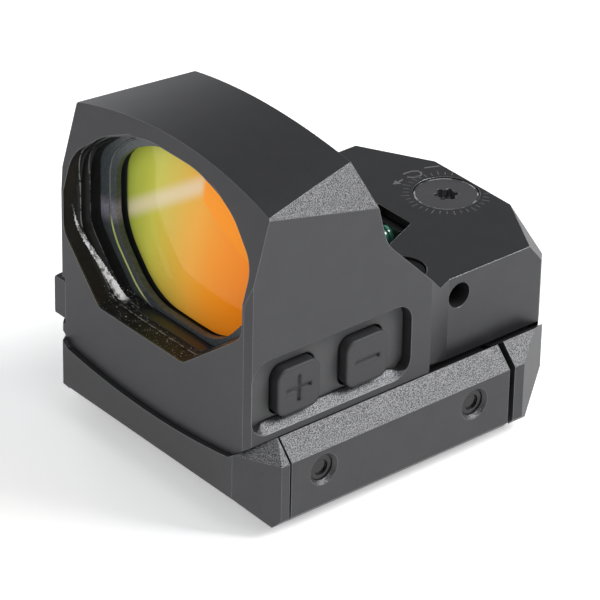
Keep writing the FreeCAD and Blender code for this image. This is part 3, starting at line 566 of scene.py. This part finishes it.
# graduation around the elevation adjuster, with a plain direction arrow
bm = bmesh.new()
for i in range(36):
    t = math.radians(i * 10)
    r0, r1 = 4.3, (4.95 if i % 3 else 5.25)
    p0 = (r0 * math.cos(t), 20.8 + r0 * math.sin(t))
    p1 = (r1 * math.cos(t), 20.8 + r1 * math.sin(t))
    if p1[1] > 24.6 or abs(p1[0]) > 14:
        continue
    flat_strip(bm, [p0, p1], 0.05, 16.508)
flat_strip(bm, [(-6.05, 22.75), (-5.35, 24.45)], 0.13, 16.508)
arc = [(-5.62, 19.75), (-5.20, 20.10), (-4.90, 20.70), (-4.98, 21.35), (-5.45, 21.75), (-5.95, 21.65), (-6.30, 21.15), (-6.42, 20.45), (-6.38, 19.80)]
flat_strip(bm, arc, 0.13, 16.508)
flat_strip(bm, [(-5.45, 18.95), (-5.30, 18.15)], 0.13, 16.508)
va = [bm.verts.new((px * MM, py * MM, 16.508 * MM)) for px, py in ((-5.85, 18.15), (-4.75, 18.15), (-5.28, 17.25))]
bm.faces.new(va)
bm.normal_update()
for f in bm.faces:
    if f.normal.z < 0:
        f.normal_flip()
mesh_object("dial_graduation", bm, MARK, "housing", False)

# sloped lower edge of the keypad recess, and the turned rim of the deck adjuster
def sill_strip():
    """Follows the recess outline from one lower corner to the other, tapering into the corners."""
    y0, y1, z0, r = -21.3, 1.2, 7.6, 2.3
    path = []
    for k in range(13):
        t = math.radians(35 + 55 * k / 12)
        path.append((y0 + r - r * math.cos(t), z0 + r - r * math.sin(t), math.cos(t), math.sin(t), k / 12.0))
    for k in range(1, 40):
        path.append((y0 + r + (y1 - y0 - 2 * r) * k / 40, z0, 0.0, 1.0, 1.0))
    for k in range(13):
        t = math.radians(90 - 55 * k / 12)
        path.append((y1 - r + r * math.cos(t), z0 + r - r * math.sin(t), -math.cos(t), math.sin(t), 1.0 - k / 12.0))
    rows = []
    for y, z, ny, nz, w in path:
        w = max(0.02, w * w * (3 - 2 * w))
        rows.append([(16.73, y + 0.01 * ny, z + 0.01 * nz), (16.73, y + 0.05 * ny, z + 0.05 * nz),
                     (16.73 - 1.05 * w, y + (0.05 + 0.95 * w) * ny, z + (0.05 + 0.95 * w) * nz),
                     (15.45, y + (0.05 + 0.97 * w) * ny, z + (0.05 + 0.97 * w) * nz)])
    bm = bmesh.new()
    grid = [[bm.verts.new(Vector(q) * MM) for q in row] for row in rows]
    for a, b in zip(grid, grid[1:]):
        for i in range(3):
            bm.faces.new((a[i], b[i], b[i + 1], a[i + 1]))
    bm.normal_update()
    for f in bm.faces:
        if f.normal.x + f.normal.z < 0:
            f.normal_flip()
    return mesh_object("keypad_sill", bm, HOUSE, "housing", False)


sill_strip()


def ring_strip(name, centre, r0, r1, height, axis, mat, body):
    bm = bmesh.new()
    loops = []
    for r, h in ((r0, height), (r1, height)):
        loop = []
        for k in range(96):
            t = 2 * math.pi * k / 96
            u, w = r * math.cos(t), r * math.sin(t)
            p = (centre[0] + u, centre[1] + w, h) if axis == "z" else (h, centre[0] + u, centre[1] + w)
            loop.append(bm.verts.new(Vector(p) * MM))
        loops.append(loop)
    for k in range(96):
        q = (k + 1) % 96
        bm.faces.new((loops[0][k], loops[0][q], loops[1][q], loops[1][k]))
    bm.normal_update()
    for f in bm.faces:
        if (f.normal.z if axis == "z" else f.normal.x) < 0:
            f.normal_flip()
    return mesh_object(name, bm, mat, body, False)


# painted glints: noise patches of the dial's rim ring are coloured near white against dark steel
rim_mat = Mat("turned_rim_glints")
rn = rim_mat.noise(0.55, 2.0, 0.5)
rim_glint_col = rim_mat.mix(rim_mat.step(rn, 0.45, 0.58), (0.10, 0.10, 0.11), (0.62, 0.62, 0.63))
RIM = rim_mat.finish(rim_mat.principled(rim_glint_col, 0.3, 0.6, rim_mat.bump(rn, 0.05, 0.00003)))
ring_strip("dial_rim", (0.0, 20.8), 3.56, 3.73, 16.356, "z", RIM, "elevation_dial")


# dome of the emitter's lens
bm = bmesh.new()
bmesh.ops.create_uvsphere(bm, u_segments=40, v_segments=24, radius=0.93 * MM)
for v in list(bm.verts):
    v.co = Vector((v.co.x, v.co.y * 0.75, v.co.z))
bmesh.ops.translate(bm, verts=bm.verts, vec=Vector((0, 11.12, 14.1)) * MM)
mesh_object("emitter_dome", bm, DIODE, "emitter")

# ------------------------------------------------------------------ camera
az, el, roll = math.radians(49.827), math.radians(30.373), math.radians(1.185)
B = Vector((math.sin(az) * math.cos(el), -math.cos(az) * math.cos(el), math.sin(el)))
right = Vector((math.cos(az), math.sin(az), 0.0))
up = B.cross(right)
R = right * math.cos(roll) + up * math.sin(roll)
U = -right * math.sin(roll) + up * math.cos(roll)
T = Vector((0.0, -2.0, 15.0)) + R * 0.863 - U * 3.891
C = (T + B * 455.351) * MM
cam_data = bpy.data.cameras.new("camera")
cam_data.lens = 4081.26 * 36.0 / 600.0
cam_data.sensor_width = 36.0
cam_data.clip_start = 0.01
cam_data.clip_end = 10.0
cam = bpy.data.objects.new("camera", cam_data)
cam.matrix_world = Matrix(((R.x, U.x, B.x, C.x), (R.y, U.y, B.y, C.y), (R.z, U.z, B.z, C.z), (0, 0, 0, 1)))
bpy.context.scene.collection.objects.link(cam)
bpy.context.scene.camera = cam

# ------------------------------------------------------------------ floor, lights, world
bm = bmesh.new()
bmesh.ops.create_grid(bm, x_segments=8, y_segments=8, size=1.6)
bmesh.ops.translate(bm, verts=bm.verts, vec=Vector((0, 0, -4.93 * MM)))
me = bpy.data.meshes.new("floor")
bm.to_mesh(me)
bm.free()
floor = bpy.data.objects.new("floor", me)
bpy.context.scene.collection.objects.link(floor)
fm = Mat("floor_paper")
fn = fm.noise(0.004, 3.0, 0.5)
fcol = fm.mix(fn, (0.90, 0.90, 0.90), (0.93, 0.93, 0.93))
fs = fm.principled(fcol, 0.85, 0.0, None, Emission__Strength=0.36)
fm.put(fs.node, "Emission Color", (1.0, 1.0, 1.0, 1.0))
me.materials.append(fm.finish(fs))
floor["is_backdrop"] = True


def area(name, direction, dist, size, radiance, color=(1, 1, 1), target=(0.0, 0.0, 0.014)):
    d = Vector(direction).normalized()
    data = bpy.data.lights.new(name, "AREA")
    data.shape = "RECTANGLE"
    data.size, data.size_y = size
    data.energy = radiance * math.pi * size[0] * size[1]
    data.color = color
    ob = bpy.data.objects.new(name, data)
    ob.location = Vector(target) + d * dist
    ob.rotation_euler = d.to_track_quat("Z", "Y").to_euler()
    bpy.context.scene.collection.objects.link(ob)
    return ob


area("key_softbox", (0.51, 0.56, 0.66), 0.60, (0.34, 0.30), 11.5)
area("front_fill", (0.15, -0.75, 0.62), 0.70, (0.55, 0.40), 1.6)
area("top_fill", (0.55, -0.15, 0.85), 0.75, (0.40, 0.40), 1.6)
area("left_fill", (-0.70, -0.66, 0.26), 0.75, (0.35, 0.30), 2.0)
area("back_left", (-0.92, 0.25, 0.30), 0.75, (0.35, 0.25), 3.2)

world = bpy.data.worlds.new("studio")
world.use_nodes = True
bg = world.node_tree.nodes["Background"]
bg.inputs[0].default_value = (0.75, 0.77, 0.80, 1.0)
bg.inputs[1].default_value = 0.28
bpy.context.scene.world = world
bpy.context.scene.view_settings.view_transform = "Standard"

box_at_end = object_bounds()


def plain(b):
    try:
        return [[float(c) for c in p] for p in b]
    except TypeError:
        return str(b)


{"loaded": plain(box_at_load), "finished": plain(box_at_end)}
